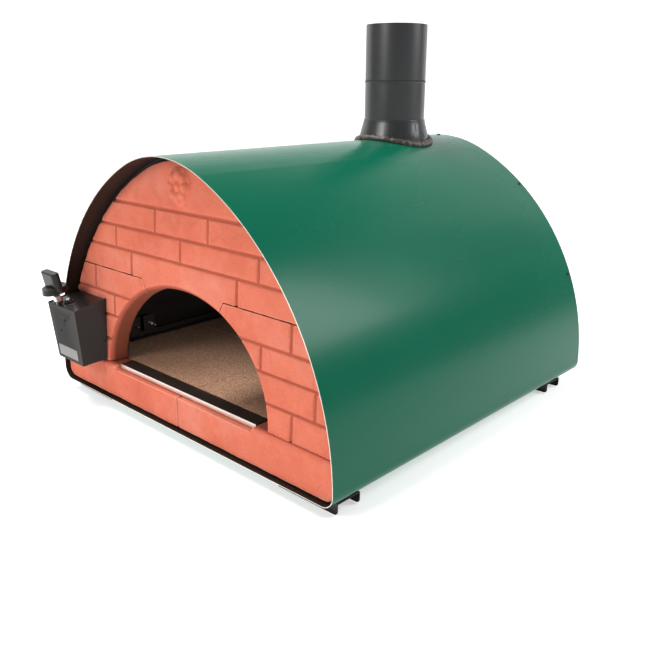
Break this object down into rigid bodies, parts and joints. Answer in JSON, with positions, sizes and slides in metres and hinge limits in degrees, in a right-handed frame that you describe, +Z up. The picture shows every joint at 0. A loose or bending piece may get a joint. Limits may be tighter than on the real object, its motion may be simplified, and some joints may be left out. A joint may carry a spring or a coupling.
{
  "type": "outdoor pizza oven",
  "caption": "Barrel-shaped outdoor pizza oven with a cast brick-pattern front, arched mouth, tiled hearth, rear flue and a side gas control box.",
  "frame": {"origin": "on the ground, in the middle of the oven's footprint box", "axes": "+X to the right seen from the front, +Y from the mouth to the rear, +Z up"},
  "size_m": [0.92, 1.0006, 0.87],
  "materials": {
    "green_enamel": "glossy enamel",
    "terracotta": "matt cast terracotta",
    "hearth_stone": "speckled refractory tile",
    "dark_steel": "satin heat-darkened steel",
    "bright_steel": "cut steel edge",
    "plated_steel": "bright plated",
    "black_powder_coat": "fine texture powder coat",
    "black_plastic": "satin black",
    "flue_enamel": "satin dark grey enamel",
    "fire_cement": "dark sealant",
    "ceramic_fibre": "matt fibre blanket",
    "insulation_board": "matt board",
    "brass": "turned",
    "blank_label": "blank plate",
    "seal_rope": "woven glass seal"
  },
  "bodies": {
    "oven": {"outer_shell": "green_enamel", "shell_floor": "green_enamel", "facade_arch": "terracotta", "facade_left_block": "terracotta", "facade_right_block": "terracotta", "facade_left_sill": "terracotta", "facade_right_sill": "terracotta", "mouth_lip_strip": "bright_steel", "facade_gasket": "seal_rope", "chamber_front_frame": "dark_steel", "base_pan": "dark_steel", "hearth_insulation_board": "insulation_board", "vault_left_panel": "dark_steel", "vault_crown_panel": "dark_steel", "vault_right_panel": "dark_steel", "vault_insulation": "ceramic_fibre", "chamber_rear_wall": "dark_steel", "rear_insulation": "ceramic_fibre", "rear_panel": "black_powder_coat", "rear_panel_screws": "dark_steel", "flue_spigot": "dark_steel", "flue_collar": "flue_enamel", "flue_seal_bead": "fire_cement", "flue_lower_pipe": "flue_enamel", "flue_upper_pipe": "flue_enamel", "foot_front_left": "black_powder_coat", "foot_front_right": "black_powder_coat", "foot_rear_left": "black_powder_coat", "foot_rear_right": "black_powder_coat", "foot_bolts": "plated_steel", "control_box_body": "black_powder_coat", "control_box_lid": "black_powder_coat", "control_box_back_plate": "black_powder_coat", "control_box_screws": "dark_steel", "rating_plate": "blank_label", "gas_valve_body": "brass", "spindle_collar": "plated_steel", "igniter_body": "black_plastic", "igniter_nut": "black_plastic", "gas_inlet_fitting": "brass", "burner_supply_pipe": "plated_steel", "burner_tube": "dark_steel", "burner_guard": "dark_steel", "electrode_bracket": "dark_steel", "thermocouple_bracket": "dark_steel", "igniter_electrode": "plated_steel", "thermocouple": "plated_steel", "hearth_tile_front_left": "hearth_stone", "hearth_tile_front_right": "hearth_stone", "hearth_tile_middle_left": "hearth_stone", "hearth_tile_middle_right": "hearth_stone", "hearth_tile_rear_left": "hearth_stone", "hearth_tile_rear_right": "hearth_stone"},
    "valve_stem": {"valve_spindle": "plated_steel"},
    "knob": {"gas_knob": "black_plastic"},
    "ignition_button": {"igniter_button": "plated_steel"}
  },
  "joints": [
    {"name": "valve_turn", "type": "hinge", "parent": "oven", "child": "valve_stem", "pos_m": [-0.388, -0.46627, 0.24455], "axis": [0, -0.1915, 0.9815], "range_deg": [0, 210]},
    {"name": "knob_push", "type": "slide", "parent": "valve_stem", "child": "knob", "axis": [0, 0.1915, -0.9815], "range_m": [0, 0.004], "stiffness_N_per_m": 1500, "springref_m": -0.002},
    {"name": "igniter_push", "type": "slide", "parent": "oven", "child": "ignition_button", "axis": [0, 0.1915, -0.9815], "range_m": [0, 0.005], "stiffness_N_per_m": 1500, "springref_m": -0.002}
  ]
}
